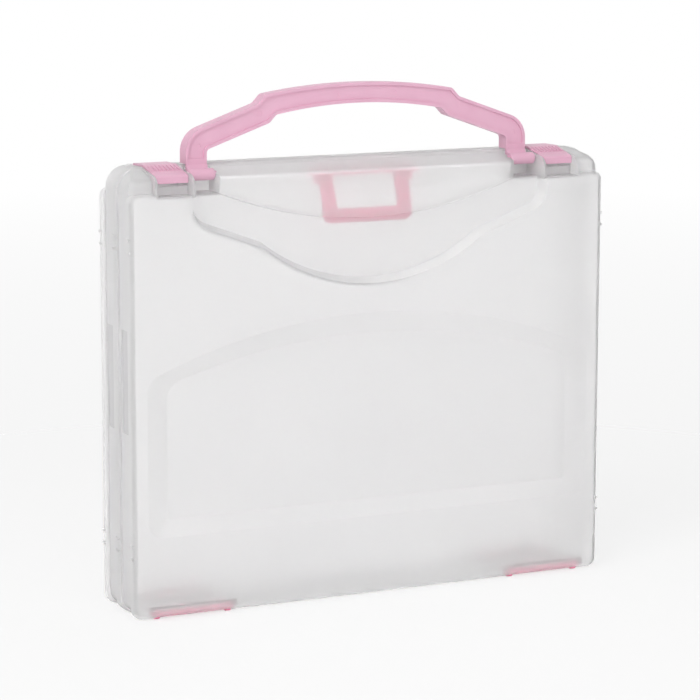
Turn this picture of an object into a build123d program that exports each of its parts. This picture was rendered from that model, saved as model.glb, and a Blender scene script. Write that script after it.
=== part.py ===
from build123d import *
import os

# Frame: X to the right, Y away from the viewer, Z up.
# Origin on the table, under the middle of the closed case. All sizes in mm.

# Closed case
case_width = 330.0
case_depth = 55.0
roof_z = 280.8
body_foot_z = 1.2
wall = 1.6
parting_gap = 0.3

# Raised outer bezel of each shell and the slimmer band behind it
bezel_top_z = 266.6
bezel_depth = 7.0
bezel_corner_r = 5.0
bezel_edge_r = 3.0
band_inset = 1.5
shoulder_r = 13.5
shoulder_edge_r = 6.0
rim_depth = 4.3
rim_rise = 0.2
roof_front_drop = 5.5

# Hood between the handle's feet
hood_half_width = 103.3
hood_front_y = -20.5
hood_floor_sag_z = 244.0
hood_side_z = 264.5
hood_draft = 22.0

# Recess in the front face that takes the folded handle
fold_floor_y = -19.0
fold_half_width = 121.0
fold_draft = 20.0
fold_knee_z = 249.6
fold_knee_r = 13.0
fold_kink = (75.0, 232.6)
fold_kink_r = 5.0
fold_bottom_z = 206.5

# Panel sunk in the lower front face
panel_depth = 3.7
panel_outer = {"half": 155.0, "bottom": 52.5, "top": 185.0, "side": 151.8, "foot_r": 9.0, "head_r": 13.0}
panel_inner = {"half": 141.0, "bottom": 63.0, "top": 171.0, "side": 147.4, "foot_r": 2.5, "head_r": 13.0}

# Finger strips and snap ribs on the side walls
strip_z = (117.0, 182.0)
strip_sink = 0.5
strip_width = 10.5
snap_rib_z = (40.3, 48.2, 231.5, 239.4)
snap_rib_rise = 0.7
snap_rib_width = 1.4

# Handle
handle_thick = 10.0
handle_leg_out = 119.2
handle_leg_in = 105.2
handle_leg_foot_z = 281.8
handle_outer = ((119.2, 300.0), (70.6, 317.2), (65.4, 322.9))
handle_outer_r = (16.0, 4.0, 4.0)
handle_top_z = 328.4
handle_inner = ((105.2, 290.2), (62.7, 305.2), (58.0, 310.2))
handle_inner_r = (3.0, 4.0, 4.0)
handle_underside_z = 315.7
handle_lip = 1.9
handle_panel_sink = 1.3
pivot_y = -12.25
pivot_z = 276.0
barrel_r = 3.7
barrel_span = (103.9, 121.1)
pivot_pin_r = 2.0
pivot_pin_reach = 1.5
running_gap = 0.05
ejector_spots = ((110.4, 292.4), (69.0, 311.2), (24.6, 321.4), (-16.0, 321.6), (-69.0, 311.2), (-110.4, 292.4))
ejector_r = 1.7

# Pockets for the handle's feet and the latches
foot_pocket = (103.3, 121.7)
foot_pocket_back_y = -3.4
latch_pocket = (123.3, 146.2)
pocket_floor_z = 265.0
fin_front_r = 9.0
catch_bar = {"y": (-17.6, -15.8), "top": 270.2}

# Latches
latch_span = (123.9, 145.6)
latch_axis_y = 15.4
latch_axis_z = 278.4
latch_barrel_r = 3.4
latch_pin_r = 1.5
latch_thick = 2.4
latch_top_z = 282.1
latch_lip_z = 272.3
latch_lip_y = -20.2
latch_pad_top_z = 276.9
knurl_count = 8
knurl_pitch = 2.5
back_pocket_floor_z = 272.6

# Hinge plates under the case
hinge_span = (99.5, 150.5)
hinge_axis_y = 23.0
hinge_axis_z = 3.2
hinge_knob_r = 3.2
hinge_knob_width = 3.0
hinge_barrel_r = 2.2
hinge_pin_r = 1.2
hinge_pin_reach = 1.8
hinge_plate_z = (1.4, 3.0)
hinge_clear = 0.3

# Document clip under the hood
clip_half_width = 31.0
clip_bar_z = (235.0, 243.0)
clip_leg_width = 8.2
clip_thick = 2.2
clip_axis_y = -9.0
clip_axis_z = 268.5
clip_pin_r = 1.4
clip_bar_y = -17.0
bracket_z = (271.6, 273.2)
bracket_half_width = 36.5
bracket_y = (-15.0, -3.0)
stake_x = 18.0
stake_r = 1.5
post_r = 3.0
post_top_z = 277.3

half_w = case_width / 2
half_d = case_depth / 2
bezel_back_y = half_d - bezel_depth


def facing(y):
    return Plane(origin=(0, y, 0), x_dir=(1, 0, 0), z_dir=(0, -1, 0))


def from_side(x):
    return Plane(origin=(x, 0, 0), x_dir=(0, 1, 0), z_dir=(1, 0, 0))


def slab(face, y_back, y_front, taper=0.0):
    """Push an outline drawn in X and Z towards the viewer."""
    return extrude(facing(y_back) * face, amount=y_back - y_front, taper=taper)


def bar(face, x_low, x_high):
    """Push a profile drawn in Y and Z along X."""
    return extrude(from_side(x_low) * face, amount=x_high - x_low)


def block(x_span, y_span, z_span):
    size = [abs(span[1] - span[0]) for span in (x_span, y_span, z_span)]
    middle = [(span[0] + span[1]) / 2 for span in (x_span, y_span, z_span)]
    return Pos(*middle) * Box(*size)


def rod(radius, x_low, x_high, y, z):
    return extrude(from_side(x_low) * (Pos(y, z) * Circle(radius)), amount=x_high - x_low)


def upright(radius, x, z_low, z_high):
    """Round post that stands along Z over the middle of the clip bracket."""
    middle_y = (bracket_y[0] + bracket_y[1]) / 2
    return Pos(x, middle_y, (z_low + z_high) / 2) * Cylinder(radius, z_high - z_low)


def rounded(points, radii):
    return make_face(FilletPolyline(*points, radius=list(radii), close=True))


def both_sides(piece):
    return piece + mirror(piece, about=Plane.YZ)


def case_outline(half_width, low, high, foot_r, head_r):
    corners = [(-half_width, low), (half_width, low), (half_width, high), (-half_width, high)]
    return rounded(corners, (foot_r, foot_r, head_r, head_r))


def side_profile(y_front, inset, edge_r):
    """Front shell seen from the side: a roof that falls towards the front and a rounded brow."""
    front = y_front + inset
    top = roof_z - inset
    drop = roof_front_drop * front / -bezel_back_y
    corners = [(1, -1), (1, top), (0, top), (front, top - drop), (front, -1)]
    face = make_face(Polyline(*corners, close=True))
    brow = face.vertices().sort_by(Axis.X)[:2].sort_by(Axis.Y)[-1]
    return fillet(brow, edge_r)


def panel_face(spec):
    crown = ThreePointArc((-spec["half"], spec["side"]), (0, spec["top"]), (spec["half"], spec["side"]))
    sides = Polyline((spec["half"], spec["side"]), (spec["half"], spec["bottom"]),
                     (-spec["half"], spec["bottom"]), (-spec["half"], spec["side"]))
    face = make_face([*crown.edges(), *sides.edges()])
    corners = face.vertices().sort_by(Axis.Y)
    face = fillet(corners[:2], spec["foot_r"])
    heads = face.vertices().filter_by(lambda v: abs(v.Y - spec["side"]) < 0.01)
    return fillet(heads, spec["head_r"])


def panel_recess(shift):
    """Tray-shaped cut with wide sloping walls; shift moves it inward to leave the wall."""
    outer = facing(-half_d - 0.01 + shift) * panel_face(panel_outer)
    inner = facing(-half_d + panel_depth + shift) * panel_face(panel_inner)
    return loft([outer, inner])


def fold_face(grow):
    """Outline of the handle recess at its floor: two legs, sloping shoulders and a finger scoop."""
    kink_x, kink_z = fold_kink
    reach = fold_half_width
    scoop = ThreePointArc((kink_x, kink_z), (0, fold_bottom_z), (-kink_x, kink_z))
    legs = Polyline((-kink_x, kink_z), (-reach, fold_knee_z), (-reach, 300), (reach, 300),
                    (reach, fold_knee_z), (kink_x, kink_z))
    face = make_face([*scoop.edges(), *legs.edges()])
    knees = face.vertices().filter_by(lambda v: abs(v.Y - fold_knee_z) < 0.01)
    face = fillet(knees, fold_knee_r)
    kinks = face.vertices().filter_by(lambda v: abs(v.Y - kink_z) < 0.01)
    face = fillet(kinks, fold_kink_r)
    if grow:
        face = offset(face, amount=grow)
    return face


def fold_recess(grow):
    return slab(fold_face(grow), fold_floor_y + grow, -half_d - 1, taper=-fold_draft)


def hood_face(inset):
    side = hood_half_width - inset
    low = hood_side_z + inset
    sag = hood_floor_sag_z + inset
    brow = ThreePointArc((side, low), (0, sag), (-side, low))
    rest = Polyline((-side, low), (-side, 300), (side, 300), (side, low))
    return make_face([*brow.edges(), *rest.edges()])


def hood(inset):
    """Raised hood that fills the folded handle's opening, with a sloping lower edge."""
    core = slab(hood_face(inset), -1, fold_floor_y + inset)
    brow = slab(hood_face(inset), fold_floor_y + inset, hood_front_y + inset - 1, taper=hood_draft)
    return (core + brow) & bar(side_profile(hood_front_y, inset, 2.5), -hood_half_width, hood_half_width)


def pocket(span, y_span, grow):
    low, high = span[0] - grow, span[1] + grow
    return both_sides(block((low, high), y_span, (pocket_floor_z - grow, roof_z + 20)))


def fin(x_low):
    """Thin upright wall beside a pocket, with a rounded brow at the front."""
    tip = -half_d
    corners = [(0, pocket_floor_z - wall), (tip + 2, pocket_floor_z - wall), (tip, pocket_floor_z),
               (tip, roof_z - 4.5), (-8, roof_z - 1.4), (0, roof_z)]
    face = make_face(Polyline(*corners, close=True))
    brow = face.vertices().filter_by(lambda v: abs(v.Y - (roof_z - 4.5)) < 0.01)
    return bar(fillet(brow, fin_front_r), x_low, x_low + wall)


def hinge_recess(sign):
    """Room in one shell's bottom for the hinge plates and their knuckles."""
    low, high = hinge_span[0] - hinge_clear, hinge_span[1] + hinge_clear
    axis = sign * hinge_axis_y
    room = block((low, high), (-1 * sign, axis), (-1, hinge_plate_z[1] + hinge_clear + 0.1))
    knuckle = rod(hinge_knob_r + hinge_clear, low, high, axis, hinge_axis_z)
    bore = rod(hinge_pin_r + running_gap, low - hinge_pin_reach - 0.2, high + hinge_pin_reach + 0.2,
               axis, hinge_axis_z)
    return both_sides(room + knuckle + bore)


def hinge_housing(sign):
    """Solid left standing in the cavity around the hinge recess."""
    low, high = hinge_span[0] - 4, hinge_span[1] + 4
    knuckle_top = hinge_axis_z + hinge_knob_r + hinge_clear + wall
    near_axis = sign * (hinge_axis_y - hinge_knob_r - wall)
    tall = block((low, high), (near_axis, sign * half_d), (-1, knuckle_top))
    flat = block((low, high), (-1 * sign, near_axis), (-1, hinge_plate_z[1] + hinge_clear + wall))
    return both_sides(tall + flat)


def side_details(shell, sign):
    """Sunk finger strips and small snap ribs on both side walls."""
    middle = sign * (bezel_back_y + rim_depth) / 2
    y_span = (middle - strip_width / 2, middle + strip_width / 2)
    face_x = half_w - band_inset
    strips = both_sides(block((face_x - strip_sink, half_w + 1), y_span, strip_z))
    shell = shell - strips
    for z in snap_rib_z:
        rib = Pos(half_w - 0.6, sign * (half_d - bezel_depth / 2), z) * Box(
            2 * (snap_rib_rise + 0.6), bezel_depth - 3, snap_rib_width)
        catch = Pos(half_w - 0.6, sign * (parting_gap / 2 + rim_depth / 2), z) * Box(
            2 * (snap_rib_rise + 0.6), rim_depth - 1.4, snap_rib_width)
        shell = shell + both_sides(rib + catch)
    return shell


def bezel():
    plate = slab(case_outline(half_w, body_foot_z, bezel_top_z, 6.0, bezel_corner_r), -bezel_back_y, -half_d)
    front_edges = plate.faces().sort_by(Axis.Y)[0].edges()
    return fillet(front_edges, bezel_edge_r)


def plain_cavity():
    """Straight-walled hollow shared by both shells, open at the parting plane."""
    inner = half_w - band_inset - wall
    low = body_foot_z + 1 + wall
    tall = slab(case_outline(inner, low, roof_z - wall, 5.0, shoulder_r - wall), 1, -bezel_back_y + wall)
    deep = slab(case_outline(inner, low, bezel_top_z - wall, 5.0, 3.5), 1, -half_d + wall)
    return tall + deep


def rim():
    outline = case_outline(half_w, body_foot_z, roof_z + rim_rise, 7.0, shoulder_r)
    return slab(outline, -parting_gap / 2, -rim_depth)


def front_shell():
    band_face = case_outline(half_w - band_inset, body_foot_z + 1, roof_z, 7.0, shoulder_r)
    band = slab(band_face, -parting_gap / 2, -bezel_back_y)
    band = band & bar(side_profile(-bezel_back_y, 0, shoulder_edge_r), -half_w, half_w)
    lip = rim() & bar(side_profile(-bezel_back_y, -rim_rise, 1.0), -half_w - 1, half_w + 1)
    shell = band + bezel() + lip
    shell = shell - fold_recess(0) - panel_recess(0)
    shell = shell + (hood(0) & block((-half_w, half_w), (-parting_gap / 2, -half_d), (0, roof_z)))

    cavity = plain_cavity() & bar(side_profile(-half_d, wall, 2.0), -half_w, half_w)
    cavity = cavity - fold_recess(wall) - panel_recess(wall)
    cavity = cavity + (hood(wall) & block((-half_w, half_w), (1, -half_d), (hood_floor_sag_z, roof_z)))
    cavity = cavity - pocket(foot_pocket, (2, -half_d), wall) - pocket(latch_pocket, (2, -half_d), wall)
    cavity = cavity - hinge_housing(-1)

    shell = shell - cavity
    for edge in (foot_pocket[1], latch_pocket[1]):
        shell = shell + both_sides(fin(edge))
    shell = shell - pocket(foot_pocket, (foot_pocket_back_y, -half_d - 1), 0)
    shell = shell - pocket(latch_pocket, (1, -half_d - 1), 0)
    bar_span = (latch_pocket[0] - 0.5, latch_pocket[1] + 0.5)
    shell = shell + both_sides(block(bar_span, catch_bar["y"], (pocket_floor_z - 0.5, catch_bar["top"])))

    pin_hole = rod(pivot_pin_r + running_gap, barrel_span[0] - pivot_pin_reach - 0.3,
                   barrel_span[1] + pivot_pin_reach + 1, pivot_y, pivot_z)
    shell = shell - both_sides(pin_hole) - hinge_recess(-1)

    for x in (-stake_x, stake_x):
        shell = shell + upright(post_r, x, bracket_z[1], post_top_z)
        shell = shell + upright(stake_r, x, bracket_z[0] - 0.6, bracket_z[1] + 1)
    return side_details(shell, -1)


def back_shell():
    band_face = case_outline(half_w - band_inset, body_foot_z + 1, roof_z, 7.0, shoulder_r)
    band = slab(band_face, -parting_gap / 2, -bezel_back_y)
    top_edges = band.faces().sort_by(Axis.Y)[0].edges()
    band = fillet(top_edges, 2.5)
    shell = band + bezel() + rim() - plain_cavity()
    shell = mirror(shell, about=Plane.XZ)

    low, high = latch_pocket[0] - wall, latch_pocket[1] + wall
    housing = block((low, high), (parting_gap / 2, bezel_back_y + wall), (pocket_floor_z - wall, roof_z))
    inner = block((low + wall, high - wall), (parting_gap / 2 + wall, bezel_back_y), (0, back_pocket_floor_z - wall))
    housing = housing - inner
    back_room = block(latch_pocket, (0, bezel_back_y - 0.6), (back_pocket_floor_z, roof_z + 9))
    shell = shell + both_sides(housing) - both_sides(back_room)
    bore = rod(latch_pin_r + running_gap, latch_span[0] - 1.7, latch_span[1] + 1.7, latch_axis_y, latch_axis_z)
    shell = shell - both_sides(bore)

    tunnel = mirror(hinge_housing(-1), about=Plane.XZ)
    inside = mirror(plain_cavity(), about=Plane.XZ)
    shell = shell + (tunnel & inside & block((-half_w, half_w), (parting_gap / 2, half_d), (0, 20)))
    shell = shell - mirror(hinge_recess(-1), about=Plane.XZ)
    return side_details(shell, 1)


def handle_band_face():
    outer = [(handle_leg_out, handle_leg_foot_z), *handle_outer]
    inner = [(handle_leg_in, handle_leg_foot_z), *handle_inner]
    crown = ThreePointArc(handle_outer[-1], (0, handle_top_z), (-handle_outer[-1][0], handle_outer[-1][1]))
    belly = ThreePointArc(handle_inner[-1], (0, handle_underside_z), (-handle_inner[-1][0], handle_inner[-1][1]))
    lines = []
    for side in (1, -1):
        lines += Polyline(*[(side * x, z) for x, z in outer]).edges()
        lines += Polyline(*[(side * x, z) for x, z in inner]).edges()
        lines += Line((side * handle_leg_out, handle_leg_foot_z), (side * handle_leg_in, handle_leg_foot_z)).edges()
    face = make_face([*lines, *crown.edges(), *belly.edges()])
    for points, radii in ((handle_outer, handle_outer_r), (handle_inner, handle_inner_r)):
        for (x, z), radius in zip(points, radii):
            spots = face.vertices().filter_by(lambda v: abs(abs(v.X) - x) < 0.01 and abs(v.Y - z) < 0.01)
            face = fillet(spots, radius)
    return face


def handle_foot():
    """Foot that steps forward from the leg to its pivot barrel."""
    step = make_face(Polyline((-3.9, handle_leg_foot_z + 2), (-3.9, pivot_z + 0.8), (pivot_y + 1.5, pivot_z - 3.3),
                              (pivot_y, pivot_z), (pivot_y + 1.5, pivot_z + 3.3), (-6.6, pivot_z + 3.0),
                              (-5.0, handle_leg_foot_z - 0.3), (-5.0, handle_leg_foot_z + 2), close=True))
    web = bar(step, handle_leg_in, handle_leg_out)
    barrel = rod(barrel_r, barrel_span[0], barrel_span[1], pivot_y, pivot_z)
    barrel = chamfer(barrel.edges().filter_by(GeomType.CIRCLE), 0.6)
    pin = rod(pivot_pin_r, barrel_span[0] - pivot_pin_reach, barrel_span[1] + pivot_pin_reach, pivot_y, pivot_z)
    return web + barrel + pin


def handle():
    face = handle_band_face()
    band = slab(face, handle_thick / 2, -handle_thick / 2)
    panel = offset(face, amount=-handle_lip) & make_face(
        Polyline((-200, 285), (200, 285), (200, 400), (-200, 400), close=True))
    sink = handle_panel_sink
    band = band - slab(panel, -handle_thick / 2 + sink, -handle_thick / 2 - 1)
    band = band - slab(panel, handle_thick / 2 + 1, handle_thick / 2 - sink)
    floor_y = -handle_thick / 2 + sink
    for x, z in ejector_spots:
        band = band - slab(Pos(x, z) * Circle(ejector_r), floor_y + 0.3, floor_y - 1)
    return band + both_sides(handle_foot())


def latch():
    """Right-hand latch: a sloping plate with a thumb pad, a hanging lip and a pivot barrel."""
    plate = make_face(Polyline(
        (latch_axis_y, latch_top_z - 0.3), (0, latch_top_z), (latch_lip_y + 1, latch_pad_top_z + 0.3),
        (latch_lip_y, latch_pad_top_z - 0.8), (latch_lip_y, latch_lip_z), (latch_lip_y + 2, latch_lip_z),
        (latch_lip_y + 2, latch_pad_top_z - 2.6), (0, latch_top_z - latch_thick),
        (latch_axis_y, latch_top_z - latch_thick), close=True))
    body = bar(plate, latch_span[0], latch_span[1])
    body = body + rod(latch_barrel_r, latch_span[0], latch_span[1], latch_axis_y, latch_axis_z)
    body = body + rod(latch_pin_r, latch_span[0] - 1.5, latch_span[1] + 1.5, latch_axis_y, latch_axis_z)
    middle = (latch_span[0] + latch_span[1]) / 2
    slope_top = make_face(Polyline((-2.5, latch_top_z - 1.2), (-2.5, latch_top_z - 0.1), (-11.5, 280.0),
                                   (-11.5, 278.4), close=True))
    for k in range(knurl_count):
        x = middle + (k - (knurl_count - 1) / 2) * knurl_pitch
        body = body + bar(slope_top, x - 0.55, x + 0.55)
    return body


def hinge_plate():
    """Right-hand hinge plate: a flat link with a knuckle and end knobs on each long edge."""
    low, high = hinge_span
    plate = block((low, high), (-hinge_axis_y, hinge_axis_y), hinge_plate_z)
    for sign in (-1, 1):
        axis = sign * hinge_axis_y
        plate = plate + rod(hinge_barrel_r, low, high, axis, hinge_axis_z)
        for start in (low, high - hinge_knob_width):
            plate = plate + rod(hinge_knob_r, start, start + hinge_knob_width, axis, hinge_axis_z)
        plate = plate + rod(hinge_pin_r, low - hinge_pin_reach, high + hinge_pin_reach, axis, hinge_axis_z)
    return plate


def clip_bracket():
    plate = block((-bracket_half_width, bracket_half_width), bracket_y, bracket_z)
    for x in (-stake_x, stake_x):
        plate = plate - upright(stake_r + running_gap, x, bracket_z[0] - 5, bracket_z[1] + 5)
    ear_face = make_face(Polyline((bracket_y[0] + 2, bracket_z[1]), (bracket_y[1] - 2, bracket_z[1]),
                                  (clip_axis_y + 2.6, clip_axis_z - 2.6), (clip_axis_y - 2.6, clip_axis_z - 2.6),
                                  close=True))
    ear = bar(fillet(ear_face.vertices().sort_by(Axis.Y)[:2], 2.0), clip_half_width + 0.5, clip_half_width + 2.5)
    plate = plate + both_sides(ear)
    bore = rod(clip_pin_r + running_gap, -clip_half_width - 3, clip_half_width + 3, clip_axis_y, clip_axis_z)
    return plate - bore


def clip_bail():
    """U-shaped bail that leans forward from its pivot and rests on the inside of the front wall."""
    lean_y = clip_bar_y + clip_thick / 2
    side = make_face(Polyline((clip_axis_y - 1.1, clip_axis_z), (clip_axis_y + 1.1, clip_axis_z),
                              (lean_y + 1.1, clip_bar_z[1]), (lean_y + 1.1, clip_bar_z[0]),
                              (lean_y - 1.1, clip_bar_z[0]), (lean_y - 1.1, clip_bar_z[1]), close=True))
    sheet = bar(side, -clip_half_width, clip_half_width)
    window = block((-clip_half_width + clip_leg_width, clip_half_width - clip_leg_width),
                   (-40, 20), (clip_bar_z[1], clip_axis_z + 9))
    sheet = sheet - window
    corners = sheet.edges().filter_by(Axis.Y).filter_by(lambda e: abs(e.center().Z - clip_bar_z[0]) < 0.1)
    sheet = fillet(corners, 3.0)
    for side_sign in (-1, 1):
        inner_x = clip_half_width - clip_leg_width
        eye = rod(2.4, inner_x, clip_half_width, clip_axis_y, clip_axis_z)
        pin = rod(clip_pin_r, inner_x, clip_half_width + 2.4, clip_axis_y, clip_axis_z)
        piece = eye + pin
        sheet = sheet + (piece if side_sign > 0 else mirror(piece, about=Plane.YZ))
    return sheet


nodes = {
    "back_shell": back_shell(),
    "front_shell": front_shell(),
    "handle": handle(),
    "latch_right": latch(),
    "latch_left": mirror(latch(), about=Plane.YZ),
    "hinge_plate_right": hinge_plate(),
    "hinge_plate_left": mirror(hinge_plate(), about=Plane.YZ),
    "clip_bracket": clip_bracket(),
    "clip_bail": clip_bail(),
}

os.makedirs("parts", exist_ok=True)
for name, piece in nodes.items():
    export_step(piece, f"parts/{name}.step")
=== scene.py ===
import math

import bmesh
import bpy
from mathutils import Matrix, Vector


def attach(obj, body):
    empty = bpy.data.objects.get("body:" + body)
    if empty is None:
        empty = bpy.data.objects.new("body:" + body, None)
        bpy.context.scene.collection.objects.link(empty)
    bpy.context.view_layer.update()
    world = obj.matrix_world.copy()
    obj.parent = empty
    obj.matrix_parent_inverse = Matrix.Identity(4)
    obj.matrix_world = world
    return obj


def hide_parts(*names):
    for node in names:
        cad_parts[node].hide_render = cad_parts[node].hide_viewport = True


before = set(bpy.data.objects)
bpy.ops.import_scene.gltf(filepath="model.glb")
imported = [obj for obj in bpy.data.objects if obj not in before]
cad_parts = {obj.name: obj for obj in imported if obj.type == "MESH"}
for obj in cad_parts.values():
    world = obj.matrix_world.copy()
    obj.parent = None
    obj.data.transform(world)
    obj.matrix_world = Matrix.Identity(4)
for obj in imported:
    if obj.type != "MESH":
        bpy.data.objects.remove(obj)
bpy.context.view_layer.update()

MM = 0.001

# Camera fitted to the photograph: place in metres, angles in degrees, and focal length in pixels of a
# frame that is FRAME_PIXELS wide.
CAMERA_PLACE = Vector((-0.76947, -1.61371, 0.47294))
CAMERA_YAW = 25.362
CAMERA_PITCH = -10.060
CAMERA_ROLL = 0.10
FOCAL_PIXELS = 2817.53
FRAME_PIXELS = 700
SENSOR_MM = 36.0

# Mould texture: height of the fine grain in millimetres, and how many times higher the long waves are.
GRAIN_HEIGHT = 0.02
WAVE_TIMES = 8
WAVE_NOISE = {"Detail": 2.0, "Roughness": 0.4}
SPECK_NOISE = {"Detail": 3.0, "Roughness": 0.6}

# The clouds in a plastic's colour go from its deep to its pale tint between these two noise values.
CLOUD_LEVELS = (0.30, 0.70)

# Frosted plastic of the shells: tints, roughness from and to, and how light goes through it.
SHELL_DEEP = (0.932, 0.927, 0.930)
SHELL_PALE = (0.964, 0.958, 0.960)
SHELL_ROUGHNESS = (0.42, 0.50)
SHELL_LIGHT = {
    "Transmission Weight": 0.67,
    "Subsurface Weight": 1.0,
    "Subsurface Radius": (1.0, 1.0, 1.0),
    "Subsurface Scale": 0.004,
    "IOR": 1.16,
}
SHELL_GRAIN = {"wave_scale": 9.0, "speck_scale": 1500.0, "strength": 0.35}
SHELL_CLOUD = {"Scale": 14.0, "Detail": 4.0, "Roughness": 0.55}

# The sunk finger strips on the side walls: middle and half size in metres, and how much of the shell's
# colour they keep; this darker colour is painted shade in the sunk strips.
STRIP_MIDDLE = {"X": 0.1630, "Y": 0.0124, "Z": 0.1495}
STRIP_HALF = {"X": 0.0003, "Y": 0.0053, "Z": 0.0325}
STRIP_PAINTED_SHADE = 0.86

# Pink plastics: deep and pale tint, share of light let through, and usual roughness of each, which the
# grain makes up to PINK_SMOOTHER smoother or PINK_ROUGHER rougher.
PINKS = {
    "pink_fitting": ((0.850, 0.500, 0.650), (0.885, 0.545, 0.690), 0.25, 0.40),
    "pink_hinge": ((0.960, 0.200, 0.380), (0.980, 0.250, 0.430), 0.10, 0.45),
    "pink_clip": ((0.960, 0.180, 0.370), (0.980, 0.230, 0.420), 0.10, 0.35),
}
PINK_SMOOTHER = 0.05
PINK_ROUGHER = 0.06
PINK_IOR = 1.45
PINK_GRAIN = {"wave_scale": 30.0, "speck_scale": 1800.0, "strength": 0.3}
PINK_CLOUD = {"Scale": 55.0, "Detail": 3.0, "Roughness": 0.5}

# The bail of the paper clip, in millimetres: a flat U that hangs from two pins, with its bar close behind
# the front wall. Its legs run straight down to BAIL_LEG_START above the bar and then turn into it.
BAIL_HALF_WIDTH = 31.0
BAIL_LEG_WIDTH = 9.4
BAIL_WINDOW_HALF = BAIL_HALF_WIDTH - BAIL_LEG_WIDTH
BAIL_BAR_Z = (241.4, 250.2)
BAIL_LEG_START = 6.0
BAIL_CORNER_R = 5.0
BAIL_WINDOW_R = 2.5
BAIL_THICK = 2.2
BAIL_PIVOT = (-9.0, 268.5)
BAIL_BAR_Y = -15.9
BAIL_EYE_R = 2.4
BAIL_PIN_R = 1.4
BAIL_PIN_START = 1.0
BAIL_PIN_REACH = 33.4
BAIL_EDGE = 0.5

# How finely the bail is divided, and from which angle on its edges are rounded.
TURN_STEPS = 6
PIN_SIDES = 32
EDGE_STEPS = 3
EDGE_DEGREES = 40

# Studio, in metres. The floor is clear by the first share near the object and by the second far from it,
# and goes from one to the other between the two distances.
FLOOR_SIDE = 60.0
FLOOR_Z = -0.0003
FLOOR_GREY = (0.90, 0.90, 0.90, 1)
FLOOR_ROUGHNESS = 0.9
FLOOR_CLEAR = (0.72, 1.0)
FLOOR_FADE = (0.5, 2.2)
WHITE = (1, 1, 1, 1)
WORLD_LIGHT = 0.51

# Softboxes: place, aimed at, side in metres, power in watts.
SOFTBOXES = {
    "key": ((-2.0, -1.35, 1.9), (0, 0, 0.20), 1.7, 39),
    "fill": ((-0.2, -2.3, 1.0), (0, 0, 0.20), 1.5, 12),
    "top": ((0.2, 0.3, 2.2), (0, 0, 0.15), 1.6, 5),
}


def new_material(name):
    material = bpy.data.materials.new(name)
    material.use_nodes = True
    nodes = material.node_tree.nodes
    return material, nodes, material.node_tree.links, nodes["Principled BSDF"]


def set_sockets(made, values):
    for socket, value in values.items():
        made.inputs[socket].default_value = value


def calculate(nodes, links, operation, *sources):
    """Output of a Math node; each source is a socket or a number."""
    made = nodes.new("ShaderNodeMath")
    made.operation = operation
    for socket, source in zip(made.inputs, sources):
        if isinstance(source, float):
            socket.default_value = source
        else:
            links.new(source, socket)
    return made.outputs[0]


def spread(nodes, links, source, to, start=(0.0, 1.0)):
    """The source, whose values lie in the range start, brought into the range to."""
    made = nodes.new("ShaderNodeMapRange")
    set_sockets(made, {"From Min": start[0], "From Max": start[1], "To Min": to[0], "To Max": to[1]})
    links.new(source, made.inputs["Value"])
    return made.outputs["Result"]


def mixed(nodes, links, share, first, second):
    """The first shader where share is 0, and the second where it is 1."""
    mix = nodes.new("ShaderNodeMixShader")
    for socket, source in zip(mix.inputs, (share, first, second)):
        links.new(source, socket)
    return mix.outputs[0]


def noise(nodes, links, place, values):
    made = nodes.new("ShaderNodeTexNoise")
    set_sockets(made, values)
    links.new(place, made.inputs["Vector"])
    return made.outputs["Fac"]


def bump(nodes, links, height, strength, distance):
    made = nodes.new("ShaderNodeBump")
    set_sockets(made, {"Strength": strength, "Distance": distance})
    links.new(height, made.inputs["Height"])
    return made


def clouds(nodes, links, place, texture, deep, pale):
    """Faint clouds in the colour of a plastic."""
    made = nodes.new("ShaderNodeValToRGB")
    for element, level, tint in zip(made.color_ramp.elements, CLOUD_LEVELS, (deep, pale)):
        element.position = level
        element.color = (*tint, 1.0)
    links.new(noise(nodes, links, place, texture), made.inputs["Fac"])
    return made.outputs["Color"]


def grain(nodes, links, shader, wave_scale, speck_scale, strength):
    """Mould texture: a fine spark-eroded grain over a long, faint waviness. Gives the object's
    coordinates and the grain's noise."""
    place = nodes.new("ShaderNodeTexCoord").outputs["Object"]
    wave = noise(nodes, links, place, {"Scale": wave_scale, **WAVE_NOISE})
    speck = noise(nodes, links, place, {"Scale": speck_scale, **SPECK_NOISE})
    broad = bump(nodes, links, wave, strength, GRAIN_HEIGHT * MM * WAVE_TIMES)
    close = bump(nodes, links, speck, strength, GRAIN_HEIGHT * MM)
    links.new(broad.outputs["Normal"], close.inputs["Normal"])
    links.new(close.outputs["Normal"], shader.inputs["Normal"])
    return place, speck


def painted_strip_shade(nodes, links, place):
    """Painted shade in the sunk finger strips: their darker share of the shell's colour on the strips of
    all four side walls, and 1 elsewhere.
    """
    parts = nodes.new("ShaderNodeSeparateXYZ")
    links.new(place, parts.inputs[0])
    inside = None
    for axis, middle in STRIP_MIDDLE.items():
        size = parts.outputs[axis]
        if axis != "Z":
            size = calculate(nodes, links, "ABSOLUTE", size)
        near = calculate(nodes, links, "COMPARE", size, middle, STRIP_HALF[axis])
        inside = near if inside is None else calculate(nodes, links, "MULTIPLY", inside, near)
    return spread(nodes, links, inside, (1.0, STRIP_PAINTED_SHADE))


def frosted_plastic():
    material, nodes, links, shader = new_material("frosted_shell")
    place, speck = grain(nodes, links, shader, **SHELL_GRAIN)
    tint = clouds(nodes, links, place, SHELL_CLOUD, SHELL_DEEP, SHELL_PALE)
    # The shell's colour is darkened on the finger strips: painted shade.
    shaded_tint = nodes.new("ShaderNodeVectorMath")
    shaded_tint.operation = "SCALE"
    links.new(tint, shaded_tint.inputs[0])
    links.new(painted_strip_shade(nodes, links, place), shaded_tint.inputs["Scale"])
    links.new(shaded_tint.outputs["Vector"], shader.inputs["Base Color"])
    links.new(spread(nodes, links, speck, SHELL_ROUGHNESS), shader.inputs["Roughness"])
    set_sockets(shader, SHELL_LIGHT)
    return material


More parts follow.
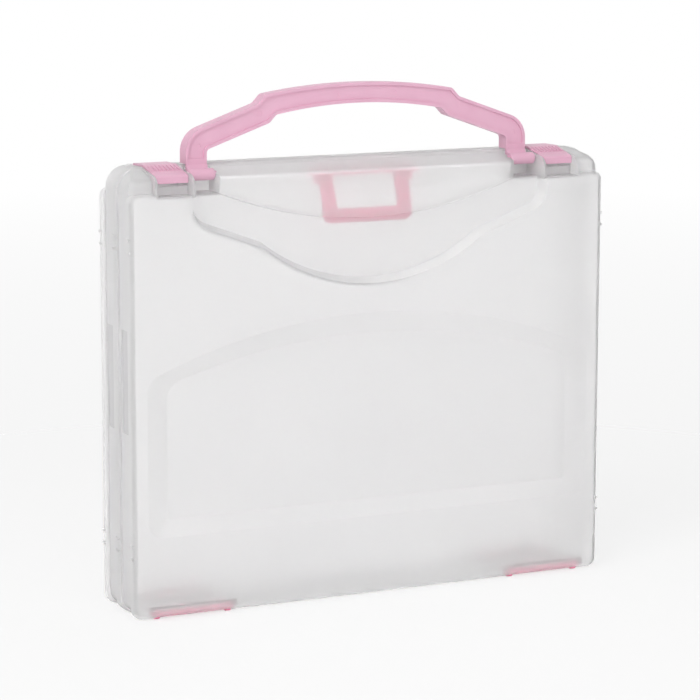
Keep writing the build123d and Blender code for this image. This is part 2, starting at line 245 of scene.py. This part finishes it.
def pink_plastic(name):
    deep, pale, transmission, roughness = PINKS[name]
    material, nodes, links, shader = new_material(name)
    place, speck = grain(nodes, links, shader, **PINK_GRAIN)
    links.new(clouds(nodes, links, place, PINK_CLOUD, deep, pale), shader.inputs["Base Color"])
    rough = spread(nodes, links, speck, (roughness - PINK_SMOOTHER, roughness + PINK_ROUGHER))
    links.new(rough, shader.inputs["Roughness"])
    set_sockets(shader, {"Transmission Weight": transmission, "IOR": PINK_IOR})
    return material


def quarter(centre, radius):
    """Points of the lower left quarter of a circle, from its left to its bottom."""
    turns = [math.radians(180 + 90 * k / TURN_STEPS) for k in range(TURN_STEPS + 1)]
    return [(centre[0] + radius * math.cos(t), centre[1] + radius * math.sin(t)) for t in turns]


def bail_stations():
    """Outer and inner outline points of the U, from the left leg's top round to the right leg's top."""
    low, high = BAIL_BAR_Z
    outer_turn = quarter((-BAIL_HALF_WIDTH + BAIL_CORNER_R, low + BAIL_CORNER_R), BAIL_CORNER_R)
    inner_turn = quarter((-BAIL_WINDOW_HALF + BAIL_WINDOW_R, high + BAIL_WINDOW_R), BAIL_WINDOW_R)
    left = [((-BAIL_HALF_WIDTH, z), (-BAIL_WINDOW_HALF, z)) for z in (BAIL_PIVOT[1], high + BAIL_LEG_START)]
    left += list(zip(outer_turn, inner_turn))
    right = [((-a[0], a[1]), (-b[0], b[1])) for a, b in reversed(left)]
    return left + right


def bail_depth(z):
    """Middle of the sheet's thickness: upright at the bar, leaning back to the pivot above it."""
    rise = (z - BAIL_BAR_Z[1]) / (BAIL_PIVOT[1] - BAIL_BAR_Z[1])
    return BAIL_BAR_Y + (BAIL_PIVOT[0] - BAIL_BAR_Y) * max(rise, 0.0)


def add_pin(mesh, side, radius, start, end):
    turn = Matrix.Rotation(math.radians(90), 4, "Y")
    place = Matrix.Translation((side * (start + end) / 2, BAIL_PIVOT[0], BAIL_PIVOT[1]))
    bmesh.ops.create_cone(mesh, cap_ends=True, segments=PIN_SIDES, radius1=radius, radius2=radius,
                          depth=end - start, matrix=place @ turn)


def clip_bail():
    mesh = bmesh.new()
    rings = []
    half = BAIL_THICK / 2
    for outer, inner in bail_stations():
        corners = ((outer, -half), (inner, -half), (inner, half), (outer, half))
        rings.append([mesh.verts.new((x, bail_depth(z) + shift, z)) for (x, z), shift in corners])
    for here, there in zip(rings, rings[1:]):
        for k in range(4):
            mesh.faces.new((here[k], here[(k + 1) % 4], there[(k + 1) % 4], there[k]))
    mesh.faces.new(rings[0])
    mesh.faces.new(list(reversed(rings[-1])))
    bmesh.ops.recalc_face_normals(mesh, faces=mesh.faces)
    for side in (-1, 1):
        add_pin(mesh, side, BAIL_EYE_R, BAIL_WINDOW_HALF, BAIL_HALF_WIDTH)
        add_pin(mesh, side, BAIL_PIN_R, BAIL_WINDOW_HALF + BAIL_PIN_START, BAIL_PIN_REACH)
    bmesh.ops.scale(mesh, vec=(MM, MM, MM), verts=mesh.verts)
    data = bpy.data.meshes.new("clip_bail_dressed")
    mesh.to_mesh(data)
    mesh.free()
    piece = bpy.data.objects.new("clip_bail_dressed", data)
    bpy.context.collection.objects.link(piece)
    edge = piece.modifiers.new("edge", "BEVEL")
    edge.width = BAIL_EDGE * MM
    edge.segments = EDGE_STEPS
    edge.limit_method = "ANGLE"
    edge.angle_limit = math.radians(EDGE_DEGREES)
    for polygon in data.polygons:
        polygon.use_smooth = True
    return piece


def seen_as_white(nodes, links):
    """1 for rays that should meet a white background: straight, mirrored or through clear plastic."""
    path = nodes.new("ShaderNodeLightPath").outputs
    straight = calculate(nodes, links, "MAXIMUM", path["Is Camera Ray"], path["Is Glossy Ray"])
    return calculate(nodes, links, "MAXIMUM", straight, path["Is Transmission Ray"])


def floor():
    """Pale floor that keeps the shadow. The white background shows through it, and so does the lid in
    the poses where it hangs below the standing edge."""
    bpy.ops.mesh.primitive_grid_add(x_subdivisions=8, y_subdivisions=8, size=FLOOR_SIDE,
                                    location=(0, 0, FLOOR_Z))
    plane = bpy.context.object
    plane.name = "studio_floor"
    material, nodes, links, shader = new_material("studio_floor")
    set_sockets(shader, {"Base Color": FLOOR_GREY, "Roughness": FLOOR_ROUGHNESS, "Specular IOR Level": 0.0})
    clear = nodes.new("ShaderNodeBsdfTransparent")
    away = nodes.new("ShaderNodeVectorMath")
    away.operation = "LENGTH"
    links.new(nodes.new("ShaderNodeTexCoord").outputs["Object"], away.inputs[0])
    fade = spread(nodes, links, away.outputs["Value"], FLOOR_CLEAR, FLOOR_FADE)
    share = calculate(nodes, links, "MULTIPLY", seen_as_white(nodes, links), fade)
    links.new(mixed(nodes, links, share, shader.outputs[0], clear.outputs[0]),
              nodes["Material Output"].inputs["Surface"])
    plane.data.materials.append(material)


def studio_world():
    """Lights the object with WORLD_LIGHT and is plain white where it is seen."""
    world = bpy.data.worlds.new("studio_world")
    bpy.context.scene.world = world
    world.use_nodes = True
    nodes, links = world.node_tree.nodes, world.node_tree.links
    lit = nodes["Background"]
    set_sockets(lit, {"Color": WHITE, "Strength": WORLD_LIGHT})
    seen = nodes.new("ShaderNodeBackground")
    set_sockets(seen, {"Color": WHITE, "Strength": 1.0})
    links.new(mixed(nodes, links, seen_as_white(nodes, links), lit.outputs[0], seen.outputs[0]),
              nodes["World Output"].inputs["Surface"])


def softbox(name, place, aim, side, watts):
    data = bpy.data.lights.new(name, "AREA")
    data.shape = "SQUARE"
    data.size = side
    data.energy = watts
    lamp = bpy.data.objects.new(name, data)
    bpy.context.collection.objects.link(lamp)
    lamp.location = place
    lamp.rotation_euler = (Vector(aim) - Vector(place)).to_track_quat("-Z", "Y").to_euler()


def camera():
    data = bpy.data.cameras.new("photo_camera")
    data.sensor_width = SENSOR_MM
    data.lens = FOCAL_PIXELS / FRAME_PIXELS * SENSOR_MM
    data.clip_start = 0.05
    data.clip_end = 100.0
    cam = bpy.data.objects.new("photo_camera", data)
    bpy.context.collection.objects.link(cam)
    yaw, pitch, roll = (math.radians(a) for a in (CAMERA_YAW, CAMERA_PITCH, CAMERA_ROLL))
    ahead = Vector((math.sin(yaw) * math.cos(pitch), math.cos(yaw) * math.cos(pitch), math.sin(pitch)))
    level = Vector((math.cos(yaw), -math.sin(yaw), 0))
    right = level * math.cos(roll) + level.cross(ahead) * math.sin(roll)
    up = right.cross(ahead)
    turn = Matrix((right, up, -ahead)).transposed()
    cam.matrix_world = Matrix.Translation(CAMERA_PLACE) @ turn.to_4x4()
    bpy.context.scene.camera = cam


shell_plastic = frosted_plastic()
handle_plastic = pink_plastic("pink_fitting")
hinge_plastic = pink_plastic("pink_hinge")
clip_plastic = pink_plastic("pink_clip")
dressed = {
    "back_shell": shell_plastic,
    "front_shell": shell_plastic,
    "handle": handle_plastic,
    "latch_right": handle_plastic,
    "latch_left": handle_plastic,
    "hinge_plate_right": hinge_plastic,
    "hinge_plate_left": hinge_plastic,
    "clip_bracket": clip_plastic,
}
for name, material in dressed.items():
    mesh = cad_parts[name].data
    mesh.materials.clear()
    mesh.materials.append(material)

bail = clip_bail()
bail.data.materials.append(clip_plastic)
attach(bail, "paper_clip")
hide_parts("clip_bail")

floor()
studio_world()
for name, (place, aim, side, watts) in SOFTBOXES.items():
    softbox(name, place, aim, side, watts)
camera()

bpy.context.scene.view_settings.view_transform = "Standard"
